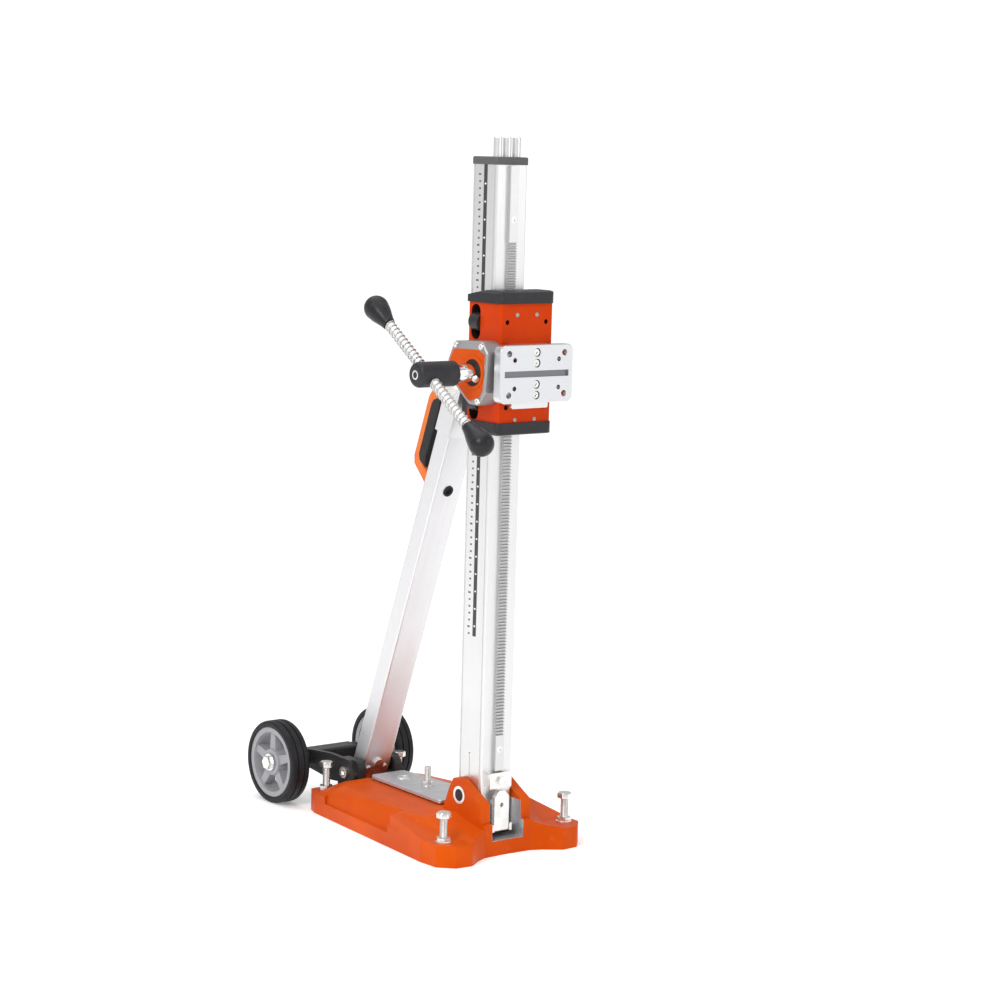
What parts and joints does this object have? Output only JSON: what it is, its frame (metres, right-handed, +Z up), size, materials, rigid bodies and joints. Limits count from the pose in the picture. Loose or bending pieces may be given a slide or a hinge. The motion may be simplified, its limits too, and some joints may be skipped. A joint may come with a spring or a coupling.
{
  "type": "core drill rig",
  "caption": "Tilting core drill stand with a toothed column, hand-cranked carriage with motor plate, rear brace with carry handle, levelling screws and transport wheels",
  "frame": {"origin": "on the floor under the base, below the column's centre line", "axes": "+X to the right seen from the front, -Y to the front where the motor plate faces, +Z up along the column"},
  "size_m": [0.31, 0.6356, 1.03],
  "materials": {
    "orange_paint": "orange powder coat, satin",
    "orange_plastic": "orange moulded plastic",
    "zinc_steel": "zinc-plated flat steel",
    "bright_steel": "bright zinc-plated steel",
    "rack_steel": "milled steel",
    "chrome_steel": "hard chrome",
    "spring_steel": "plated spring wire",
    "anodised_aluminium": "clear anodised extrusion",
    "brace_aluminium": "satin aluminium",
    "machined_aluminium": "machined aluminium",
    "cast_aluminium": "cast and blasted aluminium",
    "dark_plastic": "dark grey glass-filled plastic",
    "grey_plastic": "mid-grey moulded plastic",
    "knob_plastic": "dark phenolic plastic",
    "level_body": "clear and pale plastic",
    "black_paint": "black powder coat",
    "rubber": "black rubber",
    "grip_rubber": "soft black grip",
    "tyre_rubber": "solid black tyre",
    "roller_nylon": "black nylon",
    "scale_black": "printed black strip",
    "bearing_bronze": "sintered bronze"
  },
  "bodies": {
    "base": {"base_casting": "orange_paint", "cover_plate": "zinc_steel", "plate_gasket": "rubber", "anchor_stud": "bright_steel", "bullseye_level": "level_body", "pivot_shaft": "dark_plastic", "pivot_rings": "bright_steel", "levelling_nuts": "bright_steel", "wheel_frame": "black_paint", "wheel_fasteners": "bright_steel", "wheel_axle": "bright_steel"},
    "column": {"column_extrusion": "anodised_aluminium", "feed_rack": "rack_steel", "column_front_screws": "bright_steel", "scale_strip": "scale_black", "column_caps": "dark_plastic", "cap_posts": "machined_aluminium", "pivot_bush": "bearing_bronze", "pointer_bracket": "bright_steel", "pointer_hinge": "bright_steel"},
    "pointer": {"pointer_arm": "bright_steel"},
    "brace_slider": {"brace_clamp": "dark_plastic", "clamp_t_bolts": "bright_steel"},
    "brace": {"brace_tube": "brace_aluminium", "brace_head": "brace_aluminium", "brace_pins": "bright_steel", "brace_foot_insert": "machined_aluminium", "brace_foot_fasteners": "bright_steel", "brace_grommet": "rubber", "handle_frame": "orange_plastic", "handle_grip": "grip_rubber"},
    "carriage": {"carriage_housing": "orange_paint", "carriage_screws": "bright_steel", "carriage_caps": "dark_plastic", "guide_pads": "grey_plastic", "roller_axles": "bright_steel", "plate_adapter": "machined_aluminium", "motor_plate": "machined_aluminium", "gearbox_casting": "cast_aluminium", "gearbox_panel": "orange_paint", "shaft_seal": "rubber", "feed_bearings": "bearing_bronze"},
    "crank": {"feed_pinion_shaft": "rack_steel", "crank_sleeve": "chrome_steel", "crank_hub": "dark_plastic", "crank_bar": "bright_steel", "crank_springs": "spring_steel", "crank_knobs": "knob_plastic"},
    "wheel_left": {"wheel_rim_left": "grey_plastic", "wheel_tyre_left": "tyre_rubber"},
    "wheel_right": {"wheel_rim_right": "grey_plastic", "wheel_tyre_right": "tyre_rubber"},
    "roller_lower_left": {"roller_lower_left": "roller_nylon"},
    "roller_lower_right": {"roller_lower_right": "roller_nylon"},
    "roller_upper_left": {"roller_upper_left": "roller_nylon"},
    "roller_upper_right": {"roller_upper_right": "roller_nylon"},
    "levelling_screw_front_left": {"levelling_screw_front_left": "bright_steel"},
    "levelling_screw_front_right": {"levelling_screw_front_right": "bright_steel"},
    "levelling_screw_rear_left": {"levelling_screw_rear_left": "bright_steel"},
    "levelling_screw_rear_right": {"levelling_screw_rear_right": "bright_steel"}
  },
  "joints": [
    {"name": "column_tilt", "type": "hinge", "parent": "base", "child": "column", "pos_m": [0, 0, 0.082], "axis": [-1, 0, 0], "range_deg": [0, 45]},
    {"name": "clamp_slide", "type": "slide", "parent": "column", "child": "brace_slider", "axis": [0, 0, 1], "range_m": [0, 0.232]},
    {"name": "brace_pivot", "type": "hinge", "parent": "brace_slider", "child": "brace", "pos_m": [0, 0.062, 0.668], "axis": [-1, 0, 0], "range_deg": [0, 5.5]},
    {"name": "pointer_fold", "type": "hinge", "parent": "column", "child": "pointer", "pos_m": [0, -0.039, 0.036], "axis": [1, 0, 0], "range_deg": [0, 90]},
    {"name": "carriage_feed", "type": "slide", "parent": "column", "child": "carriage", "axis": [0, 0, 1], "range_m": [-0.485, 0.165]},
    {"name": "crank_turn", "type": "hinge", "parent": "carriage", "child": "crank", "pos_m": [-0.06, -0.0445, 0.701], "axis": [1, 0, 0], "range_deg": [-800, 2330]},
    {"name": "wheel_left_spin", "type": "hinge", "parent": "base", "child": "wheel_left", "pos_m": [-0.0997, 0.386, 0.064], "axis": [1, 0, 0], "continuous": true},
    {"name": "wheel_right_spin", "type": "hinge", "parent": "base", "child": "wheel_right", "pos_m": [0.0997, 0.386, 0.064], "axis": [1, 0, 0], "continuous": true},
    {"name": "roller_lower_left_spin", "type": "hinge", "parent": "carriage", "child": "roller_lower_left", "pos_m": [-0.0407, -0.0118, 0.656], "axis": [0, 1, 0], "range_deg": [-2200, 760]},
    {"name": "roller_lower_right_spin", "type": "hinge", "parent": "carriage", "child": "roller_lower_right", "pos_m": [0.0407, -0.0118, 0.656], "axis": [0, 1, 0], "range_deg": [-760, 2200]},
    {"name": "roller_upper_left_spin", "type": "hinge", "parent": "carriage", "child": "roller_upper_left", "pos_m": [-0.0407, -0.0118, 0.77], "axis": [0, 1, 0], "range_deg": [-2200, 760]},
    {"name": "roller_upper_right_spin", "type": "hinge", "parent": "carriage", "child": "roller_upper_right", "pos_m": [0.0407, -0.0118, 0.77], "axis": [0, 1, 0], "range_deg": [-760, 2200]},
    {"name": "levelling_screw_front_left_travel", "type": "slide", "parent": "base", "child": "levelling_screw_front_left", "axis": [0, 0, 1], "range_m": [-0.015, 0.012]},
    {"name": "levelling_screw_front_right_travel", "type": "slide", "parent": "base", "child": "levelling_screw_front_right", "axis": [0, 0, 1], "range_m": [-0.015, 0.012]},
    {"name": "levelling_screw_rear_left_travel", "type": "slide", "parent": "base", "child": "levelling_screw_rear_left", "axis": [0, 0, 1], "range_m": [-0.015, 0.012]},
    {"name": "levelling_screw_rear_right_travel", "type": "slide", "parent": "base", "child": "levelling_screw_rear_right", "axis": [0, 0, 1], "range_m": [-0.015, 0.012]}
  ],
  "couplings": [
    {"joint": "clamp_slide", "follows": "column_tilt", "m_per_rad": 0.29},
    {"joint": "brace_pivot", "follows": "column_tilt", "ratio": 0.11},
    {"joint": "crank_turn", "follows": "carriage_feed", "rad_per_m": -83.333},
    {"joint": "roller_lower_left_spin", "follows": "carriage_feed", "rad_per_m": 78.125},
    {"joint": "roller_lower_right_spin", "follows": "carriage_feed", "rad_per_m": -78.125},
    {"joint": "roller_upper_left_spin", "follows": "carriage_feed", "rad_per_m": 78.125},
    {"joint": "roller_upper_right_spin", "follows": "carriage_feed", "rad_per_m": -78.125}
  ]
}
